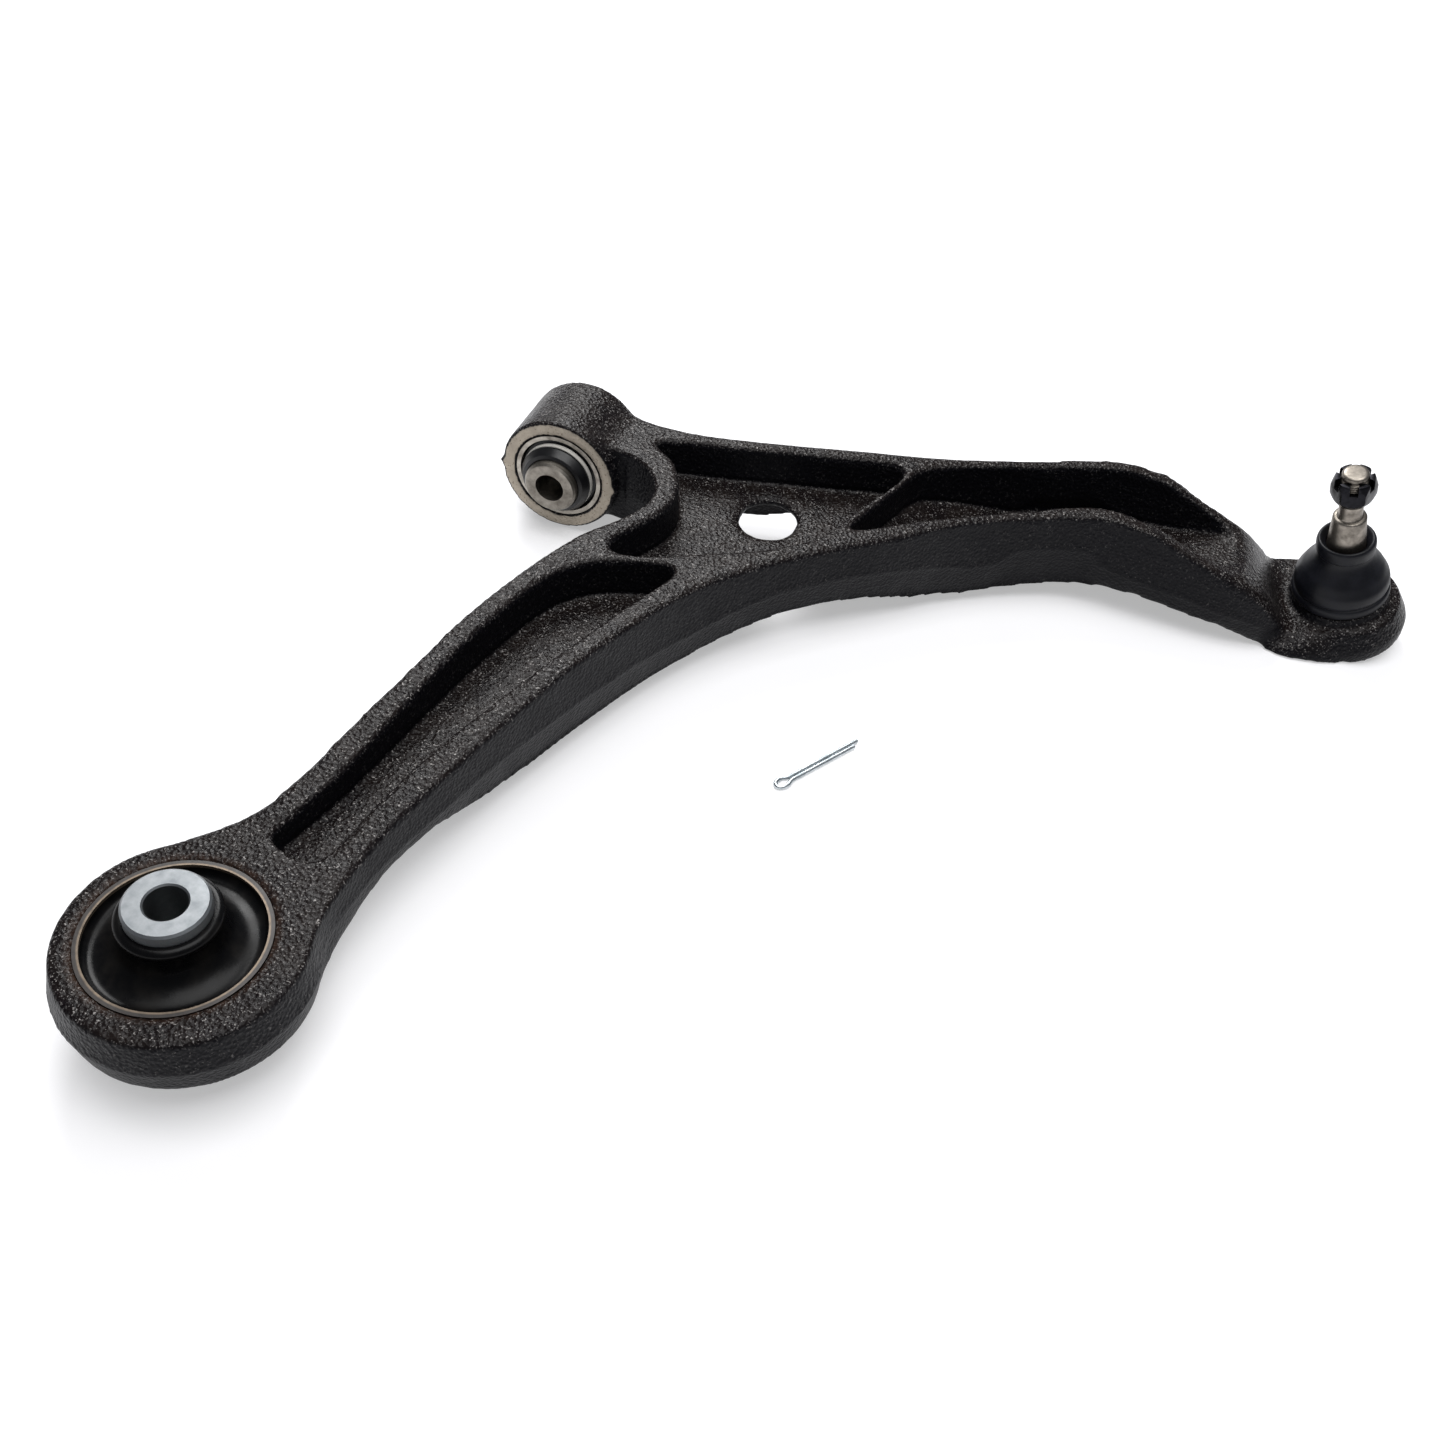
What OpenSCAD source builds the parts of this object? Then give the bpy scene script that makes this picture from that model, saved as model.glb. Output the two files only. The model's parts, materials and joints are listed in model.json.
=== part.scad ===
// Front lower control arm: a cast arm with two rubber bushings and a ball joint.
// Origin: middle of the rear bushing. +Z along its bore, +Y towards the front
// bushing, +X outboard, towards the ball joint. Millimetres.

/* [Arm casting] */
// Height of the rims above the mould's parting plane
rim_z = 20; // [17:1:22]
// Thickness of the web that joins the rims
web_t = 5.5; // [4:0.5:8]
// Height of the rear eye
eye_h = 25.6; // [24:0.4:28]
// Radius of the rear eye at the parting plane
eye_r = 44.5; // [43:0.5:46]
// Draft of the rear eye, measured at its faces
eye_draft = 2.5; // [1:0.5:3]
// Radius of the front bushing's housing
housing_r = 29.2; // [28.8:0.1:30.2]
// Length of the front bushing's housing
housing_len = 41; // [40:1:44]

/* [Rear bushing] */
// Radius of the rear eye's bore, which holds the outer sleeve
rear_bore_r = 32; // [31:0.5:33]
// Radius of the rear inner sleeve
rear_sleeve_r = 14.4; // [13.5:0.1:15]
// Length of the rear inner sleeve
rear_sleeve_len = 60.6; // [58:0.2:61]

/* [Front bushing] */
// Distance from the rear bushing to the housing's machined face
front_face_y = 307; // [300:1:315]
// Sideways offset of the front bushing's axis
front_x = 6; // [4:1:8]
// Radius of the housing's bore, which holds the outer sleeve
front_bore_r = 21.7; // [21.5:0.1:22.4]
// Radius of the front inner sleeve
front_sleeve_r = 13.1; // [12.5:0.1:13.5]
// How far the front inner sleeve stands out at each end
front_stand_out = 10.3; // [9:0.1:12]

/* [Bolts] */
// Radius of the bolt hole through both inner sleeves
bolt_hole_r = 7.15; // [6.5:0.05:7.25]

/* [Ball joint] */
// Radius of the ball
ball_r = 14.5; // [14:0.1:14.6]
// Lean of the ball joint's axis towards the bushings, in degrees
lean_in = 16; // [12:1:18]
// Lean of the ball joint's axis towards the rear, in degrees
lean_back = 10; // [6:1:12]
// Height of the stud's tip above the ball's centre
stud_h = 77.5; // [76.5:0.5:79]
// Radius of the stud's thread
thread_r = 6; // [5.9:0.05:6.1]
// Distance across the castle nut's flats
nut_flats = 17.5; // [17:0.5:19]
// Radius of the boot's base
boot_r = 22.4; // [21.8:0.1:23]

/* [Cotter pin] */
// Diameter of the pin's two legs together
pin_d = 3.6; // [2.8:0.1:3.6]
// Length of the legs
pin_len = 40.5; // [38:0.5:45]
// Place of the loose pin's eye on the surface beside the arm
pin_place = [161.6, 187.5]; // [0:0.1:400]

/* [Hidden] */

fine = 96;
slim = 0.05;                      // clearance of the pairs that turn
shell_t = 2;                      // wall of the pressed-in steel sleeves
rest_z = -rear_sleeve_len / 2;    // height of the surface that the arm rests on
web_top = web_t / 2 - 1.75;
front_mid_y = front_face_y + housing_len / 2;
front_sleeve_len = housing_len + 2 * front_stand_out;

ball_centre = [380.5, 400.5, -9];
plate_top = -2;                   // the plate's faces, above the ball's centre
plate_bottom = -20;
seat_h = 3;                       // top of the boss that the boot stands on
cup_bore_r = 20;                  // bore of the plate, filled by the socket housing
cup_top = 11;
cup_bottom = -15;
hollow_r = 16.2;                  // hollow of the socket housing, filled by the seats
neck_r = 17;                      // groove of the socket housing, for the boot's foot
collar_h = 30;                    // where the boot ends and its collar starts

// ---- curves -------------------------------------------------------------

// One point between b and c of a smooth curve that passes through all four
function blend4(a, b, c, d, t) =
    0.5 * (2 * b + (c - a) * t + (2 * a - 5 * b + 4 * c - d) * t * t
    + (3 * b - a - 3 * c + d) * t * t * t);

// Closed smooth outline through the points p, with n steps between two points
function loop(p, n = 3) = [
    for (i = [0:len(p) - 1], j = [0:n - 1])
        let (m = len(p))
        blend4(p[(i + m - 1) % m], p[i], p[(i + 1) % m], p[(i + 2) % m], j / n)
];

// ---- plan of the casting ------------------------------------------------

arm_outline = [
    [-34, 20], [-16, 41], [-4, 58], [2, 78], [7, 108], [13, 140], [20, 178], [29, 213],
    [41, 246], [53, 265], [60.5, 283], [57, 300], [44, 311.5], [24, 315],
    [14, 328], [24, 345], [42, 343], [66, 345], [102, 355], [139, 367], [177, 379],
    [214, 395], [250, 411], [284, 416], [312, 412], [329, 413], [341, 419.5], [350, 426],
    [362, 423], [368, 402], [366, 386], [360, 374.5], [350, 368], [338, 364], [322, 361.5],
    [288, 361.5],
    [258, 361], [231, 351], [200, 332], [174, 308], [146, 284], [119, 257], [97, 226],
    [78, 183], [62, 138], [50, 97], [42.5, 68], [39.5, 44], [41, 22], [45, 0], [38, -22],
    [10, -38], [-22, -32], [-38, -6]
];

rear_pocket = [
    [6, 50], [13, 45.5], [23, 44], [29.5, 52], [34, 80], [41, 108], [49, 132], [57, 154],
    [67, 181], [77, 209], [88, 236], [86, 244], [74, 241.5], [57, 234], [44, 221],
    [36, 202], [29, 173], [24, 148], [19, 116], [14, 84], [9, 64]
];

middle_pocket = [
    [47, 328], [59, 319], [67, 306], [71, 290], [67, 273], [57, 254], [57, 244],
    [68, 243.5], [82, 250], [98, 260], [114, 269], [127, 279], [140, 292], [147, 309],
    [154, 328], [163, 351], [163, 362], [154, 363.5], [132, 356], [112, 350], [84, 341],
    [60, 335]
];

outer_pocket = [
    [150, 306], [157, 307], [168, 316], [182, 327], [197, 337], [212, 347], [230, 358],
    [249, 368.5], [267, 371], [287, 369.5], [307, 370], [324, 372], [327, 385],
    [324, 400], [314, 405.5], [293, 408.5], [271, 408], [252, 404.5], [233, 397.5],
    [215, 389], [196, 380], [179, 371], [169, 361], [163, 344], [155, 322]
];

slot_centre = [109, 320];
slot_r = 14.5;
slot_shift = 4;                   // distance between the slot's two round ends

// ---- side profiles of the casting: [distance, height] --------------------

crown_x = [[-60, rim_z], [230, rim_z], [250, rim_z + 1.5], [267, rim_z + 2.5], [287, rim_z],
           [304, 13.4], [326, 6.8], [345, 2], [420, 2]];
belly_x = [[-60, -rim_z], [98, -rim_z], [131, -13], [152, -13.2], [167, -15], [184, -20.5],
           [205, -24.5], [240, -20.5], [269, -17.2], [286, -15.9], [308, -18.2],
           [329, -21.8], [340, -25.9], [352, rest_z], [420, rest_z]];
crown_y = [[-60, eye_h / 2], [50, eye_h / 2], [100, 15.4], [160, 19], [200, 23], [460, 23]];
belly_y = [[-60, -eye_h / 2], [44, -eye_h / 2], [68, -8.6], [93, -9.4], [118, -16],
           [142, -19], [188, -20], [200, -31], [460, -31]];
floor_x = [[-60, web_top], [172, web_top], [196, -3], [216, -7], [250, -8.5], [286, -5],
           [299, -3.3], [322, 4.2], [420, 4.2]];

// Ramp from the crown down to the ball joint's plate: [distance, height] on the joint's axis
ramp = [[-25.9, plate_top], [-27.8, -0.6], [-30.4, 4], [-34.8, 14], [-39.5, 22.5],
        [-46, 30.5], [-56, 41], [-80, 72], [60, 72], [60, plate_top]];
ramp_turn = 11.5;                 // turn of the ramp's foot about the joint's axis

// Outline of the space between a lower and an upper profile
function between(low, high) = concat(low, [for (i = [len(high) - 1:-1:0]) high[i]]);

// A profile moved down by d
function lower(p, d) = [for (q = p) [q[0], q[1] - d]];

// ---- shared shapes --------------------------------------------------------

// Fills a profile of X and Z over the whole depth of the part
module along_y(points) {
    translate([0, 460, 0]) rotate([90, 0, 0]) linear_extrude(520) polygon(points);
}

// Fills a profile of Y and Z over the whole width of the part
module along_x(points) {
    translate([-60, 0, 0]) rotate([90, 0, 90]) linear_extrude(500) polygon(points);
}

// A ring or disc from z = low to z = high
module tube(outer_r, inner_r, low, high) {
    difference() {
        translate([0, 0, low]) cylinder(r = outer_r, h = high - low, $fn = fine);
        if (inner_r > 0)
            translate([0, 0, low - 1]) cylinder(r = inner_r, h = high - low + 2, $fn = fine);
    }
}

// Turns a profile of [radius, height] about Z
module turned(points) {
    rotate_extrude($fn = fine) polygon(points);
}

// Places a shape, drawn along Z, on the front bushing's axis, with z = 0 mid-length
module at_front() {
    translate([front_x, front_mid_y, 0]) rotate([-90, 0, 0]) children();
}

// Places a shape, drawn along Z, on the ball joint's axis, with z = 0 at the ball
module at_ball() {
    translate(ball_centre) rotate([lean_back, -lean_in, 0]) children();
}

// ---- casting --------------------------------------------------------------

// Pocket down to the web from above, and up to it from below
module pocket(outline) {
    difference() {
        translate([0, 0, -40]) linear_extrude(80) polygon(loop(outline, 2));
        along_y(between(lower(floor_x, web_t), floor_x));
    }
}

module rims() {
    difference() {
        intersection() {
            translate([0, 0, -40]) linear_extrude(80) polygon(loop(arm_outline));
            along_y(between(belly_x, crown_x));
            along_x(between(belly_y, crown_y));
        }
        pocket(rear_pocket);
        pocket(middle_pocket);
        pocket(outer_pocket);
        at_ball() rotate([90, 0, ramp_turn]) linear_extrude(140, center = true) polygon(ramp);
    }
}

module rear_eye() {
    face_r = eye_r - eye_draft;
    half = eye_h / 2;
    translate([3, 0, 0])
        turned([[0, -half], [face_r, -half], [eye_r, 0], [face_r, half], [0, half]]);
}

module front_housing() {
    at_front() cylinder(r = housing_r, h = housing_len, center = true, $fn = fine);
}

// Hollow corner that blends the rim into the housing
module housing_blend(side) {
    blend_r = 18;
    reach = sqrt(pow(housing_r + blend_r, 2) - pow(rim_z + blend_r, 2));
    share = housing_r / (housing_r + blend_r);
    scale_to = [reach, rim_z + blend_r] * share;
    translate([front_x, 315, 0]) mirror([0, 0, side]) difference() {
        rotate([-90, 0, 0]) mirror([0, 1, 0]) linear_extrude(28)
            polygon([[scale_to[0] - 4, rim_z - 4], [reach, rim_z - 4], [reach, rim_z],
                     scale_to, [scale_to[0] - 4, scale_to[1]]]);
        translate([reach, -1, rim_z + blend_r]) rotate([-90, 0, 0])
            cylinder(r = blend_r, h = 30, $fn = fine);
    }
}

// Round plate with drafted sides, its boss, and the block that joins it to the arm
module ball_plate() {
    top_r = 26.4;
    parting_r = 30.6;
    parting_h = -13;
    boss_r = 22.3;
    block = [[0, -26.4], [-8, -27], [-20.6, -28.4], [-28, -22], [-31, -6], [-31.5, 10],
             [-32.6, 25.4], [-25, 25.6], [0, 26.4]];
    foot = [[0, -30], [-12, -31.4], [-24, -31.4], [-30, -24], [-30, 20], [0, 20]];
    intersection() {
        at_ball() {
            translate([1, 0, 0])
                turned([[0, plate_bottom], [parting_r - 0.8, plate_bottom],
                        [parting_r, parting_h], [top_r, plate_top], [0, plate_top]]);
            turned([[0, plate_top - 1], [boss_r, plate_top - 1], [boss_r, seat_h], [0, seat_h]]);
            translate([0, 0, plate_bottom])
                linear_extrude(plate_top - plate_bottom) polygon(block);
            translate([0, 0, plate_bottom])
                linear_extrude(parting_h - plate_bottom) polygon(foot);
        }
        translate([300, 340, rest_z]) cube([140, 120, 60]);
    }
}

// Drafted corner where the arm's near side runs into the plate
module plate_corner() {
    hull() {
        at_ball() translate([0, 0, plate_top - 1]) linear_extrude(1)
            polygon([[-27, -25], [-20.6, -28.4], [0, -26.4], [0, -10], [-27, -10]]);
        translate([0, 0, rest_z]) linear_extrude(1)
            polygon([[352, 365.5], [360, 364], [368.5, 364.5], [378.5, 366.7], [389.5, 372.2],
                     [352, 385]]);
    }
}

module oval_slot() {
    for (end = [-0.5, 0.5])
        translate([slot_centre[0], slot_centre[1] + end * slot_shift, -40])
            cylinder(r = slot_r, h = 80, $fn = fine);
}

module arm_casting() {
    color("#2b2826") difference() {
        union() {
            rims();
            rear_eye();
            front_housing();
            housing_blend(0);
            ball_plate();
            plate_corner();
        }
        oval_slot();
        cylinder(r = rear_bore_r, h = 90, center = true, $fn = fine);
        at_front() cylinder(r = front_bore_r, h = 90, center = true, $fn = fine);
        at_ball() translate([0, 0, -40]) cylinder(r = cup_bore_r, h = 80, $fn = fine);
    }
}

// ---- rear bushing -----------------------------------------------------------

module rear_outer_sleeve() {
    half = eye_h / 2 - 0.4;
    color("#a89f92") tube(rear_bore_r, rear_bore_r - shell_t, -half, half);
}

// Dished rubber with a bead round each end of the inner sleeve
module rear_rubber() {
    rim_r = rear_bore_r - shell_t;
    core_r = rear_sleeve_r + slim;
    half = [
        [core_r, 25.5], [core_r + 2.2, 25], [core_r + 3.1, 23], [core_r + 2.2, 21],
        [core_r + 1.2, 20], [core_r + 1.4, 17], [core_r + 3.2, 12.5], [core_r + 7, 9],
        [rim_r - 4.5, 7.8], [rim_r - 2, 8.2], [rim_r, 10.5]
    ];
    other = [for (i = [len(half) - 1:-1:0]) [half[i][0], -half[i][1]]];
    color("#18181a") turned(concat(half, other));
}

module rear_inner_sleeve() {
    half = rear_sleeve_len / 2;
    edge = 0.8;
    mouth = 0.6;
    color("#b9bab8") turned([
        [bolt_hole_r, mouth - half], [bolt_hole_r + mouth, -half], [rear_sleeve_r - edge, -half],
        [rear_sleeve_r, edge - half], [rear_sleeve_r, half - edge], [rear_sleeve_r - edge, half],
        [bolt_hole_r + mouth, half], [bolt_hole_r, half - mouth]
    ]);
}

// ---- front bushing ----------------------------------------------------------

module front_outer_sleeve() {
    half = housing_len / 2 - 0.6;
    color("#a9a59c") at_front() tube(front_bore_r, front_bore_r - shell_t, -half, half);
}

module front_rubber() {
    rim_r = front_bore_r - shell_t;
    core_r = front_sleeve_r + slim;
    half = housing_len / 2;
    color("#1a1a1b") at_front() turned([
        [core_r, 4 - half], [core_r + 3, 1.5 - half], [rim_r - 1, 2.5 - half], [rim_r, 4 - half],
        [rim_r, half - 4], [rim_r - 1, half - 2.5], [core_r + 3, half - 1.5], [core_r, half - 4]
    ]);
}

module front_inner_sleeve() {
    half = front_sleeve_len / 2;
    edge = 1;
    color("#8f8b86") at_front() turned([
        [bolt_hole_r, -half], [front_sleeve_r - edge, -half], [front_sleeve_r, edge - half],
        [front_sleeve_r, half - edge], [front_sleeve_r - edge, half], [bolt_hole_r, half]
    ]);
}

// Pale ring at each end, between the rubber and its dust lip
module front_thrust_rings() {
    half = housing_len / 2;
    color("#cfcdc6") at_front() for (side = [-1, 1])
        tube(front_sleeve_r + 4.6, front_sleeve_r + slim, side * (half + 0.25) - 1.2,
             side * (half + 0.25) + 1.2);
}

// Tapered lip at each end that keeps dirt off the sleeve
module front_dust_lips() {
    half = housing_len / 2 + 1.6;
    core_r = front_sleeve_r + slim;
    color("#141415") at_front() for (side = [0, 1]) mirror([0, 0, side])
        turned([[core_r, half], [core_r + 4.2, half], [core_r + 4.4, half + 1.2],
                [core_r + 2.2, half + 4.6], [core_r + 0.6, half + 5.2], [core_r, half + 5]]);
}

// ---- ball joint -------------------------------------------------------------

module socket_housing() {
    mouth_r = 12.2;
    mouth_z = 9;
    color("#6d6a66") at_ball() difference() {
        turned([
            [0, cup_bottom], [cup_bore_r - 0.6, cup_bottom], [cup_bore_r, cup_bottom + 0.6],
            [cup_bore_r, seat_h], [neck_r, seat_h], [neck_r, seat_h + 4.2],
            [neck_r + 1.1, seat_h + 5.2], [neck_r + 0.4, cup_top], [0, cup_top]
        ]);
        turned([
            [0, cup_bottom - 1], [hollow_r, cup_bottom - 1], [hollow_r, 2], [mouth_r, mouth_z],
            [mouth_r + 2, cup_top + 1], [0, cup_top + 1]
        ]);
    }
}

// Plastic seats on the two sides of the ball
module upper_seat() {
    color("#d8d2bf") at_ball() difference() {
        turned([[0, 0.4], [hollow_r, 0.4], [hollow_r, 2], [12.54, 8.4], [0, 8.4]]);
        sphere(r = ball_r + slim, $fn = fine);
    }
}

module lower_seat() {
    color("#d8d2bf") at_ball() difference() {
        turned([[0, -13], [12, -13], [hollow_r, -10.5], [hollow_r, 0], [0, 0]]);
        sphere(r = ball_r + slim, $fn = fine);
        translate([0, 0, -14]) cylinder(r = 9, h = 8, $fn = fine);
    }
}

// Dished washer that presses the seats against the ball
module preload_washer() {
    color("#8b8d90") at_ball()
        turned([[6, -13.9], [14.5, -13.2], [14.5, -13.95], [6, -14.3]]);
}

module socket_cover() {
    color("#77746f") at_ball() tube(hollow_r, 0, cup_bottom + 0.1, cup_bottom + 0.65);
}

module ball_stud() {
    flat_z = -12.6;               // the ball is cut flat below
    shank_r = 6.9;
    groove_r = 5.4;
    taper_low = 23;
    taper_top = 51;
    hole_drop = 6.5;              // from the tip to the cotter pin's hole
    color("#b1aca5") at_ball() difference() {
        union() {
            sphere(r = ball_r, $fn = fine);
            turned([
                [0, 0], [shank_r, 4], [shank_r, 15], [9.4, taper_low], [7.5, taper_top - 0.6],
                [6.8, taper_top], [groove_r, taper_top + 0.4], [groove_r, taper_top + 9],
                [thread_r, taper_top + 9.8], [thread_r, stud_h - 1.2],
                [thread_r - 0.9, stud_h - 0.2], [thread_r - 1.6, stud_h], [0, stud_h]
            ]);
        }
        translate([0, 0, flat_z - 10]) cylinder(r = 20, h = 10, $fn = fine);
        translate([0, 0, stud_h - hole_drop]) rotate([0, 90, 30])
            cylinder(r = 1.7, h = 40, center = true, $fn = 32);
    }
}

// Hexagon nut with six slots across its crown, for the cotter pin
module castle_nut() {
    low = 60.9;
    top = 74.8;
    slot_depth = 5;
    slot_w = 3.6;
    corner_r = nut_flats / 2 / cos(30);
    color("#1c1c1e") at_ball() difference() {
        intersection() {
            translate([0, 0, low]) cylinder(r = corner_r, h = top - low, $fn = 6);
            turned([[0, low], [7.2, low], [corner_r, low + 4.4], [corner_r, top - 4.6],
                    [corner_r - 1.6, top], [0, top]]);
        }
        cylinder(r = thread_r, h = 100, $fn = fine);
        for (turn = [30:60:150]) rotate(turn)
            translate([-20, -slot_w / 2, top - slot_depth]) cube([40, slot_w, 10]);
    }
}

// Boot from its foot on the plate up to the neck under the collar
module dust_boot() {
    foot = seat_h + 0.1;
    grip_r = neck_r + 1.05;
    color("#17171b") at_ball() turned([
        [grip_r + 0.5, foot], [boot_r - 0.6, foot], [boot_r, foot + 1.4], [boot_r, foot + 3.4],
        [boot_r - 0.5, foot + 4.8], [boot_r - 1.4, foot + 5.4], [boot_r - 0.6, foot + 6.6],
        [boot_r - 0.8, foot + 9], [boot_r - 2.3, foot + 13.2], [16.6, foot + 18.9],
        [13.9, foot + 23.9], [12.4, collar_h - 0.2], [10.6, collar_h - 0.2],
        [11.7, foot + 23], [14.6, foot + 18], [18, foot + 12.4], [19.2, foot + 6.6],
        [19.2, foot + 4.6], [grip_r, foot + 3.9], [grip_r, foot + 0.5]
    ]);
}

// Collar that seals on the stud's taper, with a groove below for its ring
module boot_collar() {
    color("#17171b") at_ball() turned([
        [9.5, collar_h], [10.4, collar_h], [10.4, collar_h + 1.5], [11.6, collar_h + 1.5],
        [11.6, collar_h], [12.8, collar_h], [13.3, collar_h + 1.2], [13.3, collar_h + 5],
        [12.9, collar_h + 6.6], [12, collar_h + 7.2], [11, collar_h + 6.7],
        [9.3, collar_h + 4.4], [8.95, collar_h + 3.4]
    ]);
}

// Ring in the groove below the collar
module boot_upper_ring() {
    color("#55565a") at_ball() tube(11.5, 10.5, collar_h + 0.2, collar_h + 1.4);
}

// Clip ring that holds the boot's foot in the housing's groove
module boot_lower_ring() {
    color("#3c3c3f") at_ball()
        tube(neck_r + 1, neck_r + slim, seat_h + 0.9, seat_h + 3.6);
}

// ---- cotter pin -------------------------------------------------------------

// Split pin of half-round wire, lying flat with its legs together
module cotter_pin() {
    wire_r = pin_d / 2;
    eye_in = 1.5;
    gap = 0.12;
    heading = 57;
    color("#c9cdd1") translate([pin_place[0], pin_place[1], rest_z + wire_r])
        rotate([0, 0, heading]) {
            difference() {
                union() {
                    rotate([0, 90, 0]) cylinder(r = wire_r, h = pin_len, $fn = 32);
                    translate([-2.6, 0, 0]) rotate_extrude($fn = fine)
                        translate([eye_in + 0.9, 0]) circle(r = 0.9, $fn = 24);
                }
                translate([0.8, -gap / 2, -5]) cube([pin_len, gap, 10]);
                translate([-2.6, 0, -5]) cylinder(r = eye_in, h = 10, $fn = fine);
            }
        }
}

arm_casting();
rear_outer_sleeve();
rear_rubber();
rear_inner_sleeve();
front_outer_sleeve();
front_rubber();
front_inner_sleeve();
front_thrust_rings();
front_dust_lips();
socket_housing();
upper_seat();
lower_seat();
preload_washer();
socket_cover();
ball_stud();
castle_nut();
dust_boot();
boot_upper_ring();
boot_lower_ring();
boot_collar();
cotter_pin();
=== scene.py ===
"""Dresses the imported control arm: cast iron arm, two rubber bushings and a booted ball joint."""

import json
import math

import bpy
from mathutils import Matrix, Vector
from mathutils.bvhtree import BVHTree


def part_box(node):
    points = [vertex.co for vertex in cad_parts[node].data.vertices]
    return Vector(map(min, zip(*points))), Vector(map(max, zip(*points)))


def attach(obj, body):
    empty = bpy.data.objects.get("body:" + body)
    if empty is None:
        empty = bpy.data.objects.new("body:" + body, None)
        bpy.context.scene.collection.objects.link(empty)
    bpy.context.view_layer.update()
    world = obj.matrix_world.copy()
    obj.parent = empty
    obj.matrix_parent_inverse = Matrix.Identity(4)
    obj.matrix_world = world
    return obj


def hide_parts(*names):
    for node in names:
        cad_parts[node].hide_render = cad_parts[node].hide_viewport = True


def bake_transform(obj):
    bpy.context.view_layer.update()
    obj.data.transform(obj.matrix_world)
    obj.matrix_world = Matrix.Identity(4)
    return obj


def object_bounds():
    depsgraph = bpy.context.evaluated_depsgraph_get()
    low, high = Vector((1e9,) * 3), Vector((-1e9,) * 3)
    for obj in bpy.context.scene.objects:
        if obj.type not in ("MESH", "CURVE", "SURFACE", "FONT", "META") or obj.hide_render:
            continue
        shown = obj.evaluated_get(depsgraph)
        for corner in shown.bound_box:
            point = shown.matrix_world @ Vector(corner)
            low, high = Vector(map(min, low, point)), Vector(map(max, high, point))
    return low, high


bl_info = {
    "name": "Control Arm",
    "version": (1, 0, 0),
    "blender": (4, 5, 0),
    "location": "3D View > Sidebar > Control Arm",
    "description": "Builds a cast control arm with its bushings, ball joint and stage",
    "category": "Object",
}

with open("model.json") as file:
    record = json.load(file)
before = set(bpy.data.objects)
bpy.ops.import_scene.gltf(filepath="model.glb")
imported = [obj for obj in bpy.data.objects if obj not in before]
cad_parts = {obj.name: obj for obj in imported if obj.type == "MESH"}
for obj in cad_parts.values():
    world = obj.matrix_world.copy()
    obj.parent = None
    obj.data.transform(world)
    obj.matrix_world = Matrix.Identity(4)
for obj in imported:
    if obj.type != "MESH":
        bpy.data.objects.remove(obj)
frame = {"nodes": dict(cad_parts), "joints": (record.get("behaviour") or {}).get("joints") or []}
CAD_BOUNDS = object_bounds()

MM = 0.001
JOINTS = {joint["name"]: joint for joint in frame["joints"]}

# Places that come from the frame, in metres
BALL = Vector(JOINTS["stud_spin"]["pos_m"])
BALL_UP = Vector(JOINTS["stud_spin"]["axis"]).normalized()
BALL_SIDE = Vector(JOINTS["stud_tilt"]["axis"]).normalized()
FRONT = Vector(JOINTS["front_sleeve_twist"]["pos_m"])
FLOOR_Z = CAD_BOUNDS[0][2]


# ---- settings ---------------------------------------------------------------


class CastingSettings(bpy.types.PropertyGroup):
    voxel: bpy.props.FloatProperty(
        name="Voxel", description="Grid of the rounded surface", default=1.35 * MM, unit="LENGTH")
    bulge: bpy.props.FloatProperty(
        name="Bulge", description="How far the parting line stands out", default=1.5 * MM,
        unit="LENGTH")
    tuck: bpy.props.FloatProperty(
        name="Tuck", description="How far the lower edge is drawn in", default=1.2 * MM,
        unit="LENGTH")
    ridge: bpy.props.FloatProperty(
        name="Ridge", description="Height of the trimmed flash on the parting line",
        default=0.5 * MM, unit="LENGTH")
    housing_radius: bpy.props.FloatProperty(
        name="Housing radius", description="Outside of the front bushing's housing",
        default=29.2 * MM, unit="LENGTH")
    burr: bpy.props.FloatProperty(
        name="Burr", description="Radius of the two burrs on the housing's parting line",
        default=1.8 * MM, unit="LENGTH")
    waviness: bpy.props.FloatProperty(
        name="Waviness", description="Depth of the sand mould's hollows", default=0.22 * MM,
        unit="LENGTH")
    paint: bpy.props.FloatVectorProperty(
        name="Paint", description="Black paint", default=(0.0026, 0.0025, 0.0038),
        subtype="COLOR", size=3)


class RubberSettings(bpy.types.PropertyGroup):
    facets: bpy.props.IntProperty(
        name="Facets", description="Sides of each turned piece", default=128)
    rear_rim: bpy.props.FloatProperty(
        name="Rear rim", description="Radius of the rear rubber", default=30 * MM, unit="LENGTH")
    rear_core: bpy.props.FloatProperty(
        name="Rear core", description="Radius of the rubber's hole", default=14.45 * MM,
        unit="LENGTH")


class BallJointSettings(bpy.types.PropertyGroup):
    stud_height: bpy.props.FloatProperty(
        name="Stud height", description="Tip of the stud above the ball's centre",
        default=77.5 * MM, unit="LENGTH")
    thread_radius: bpy.props.FloatProperty(
        name="Thread radius", description="Crest of the stud's thread", default=6 * MM,
        unit="LENGTH")
    pitch: bpy.props.FloatProperty(
        name="Pitch", description="Distance between two turns of the thread",
        default=1.25 * MM, unit="LENGTH")
    boot_radius: bpy.props.FloatProperty(
        name="Boot radius", description="Foot of the dust boot", default=22.4 * MM,
        unit="LENGTH")


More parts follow.
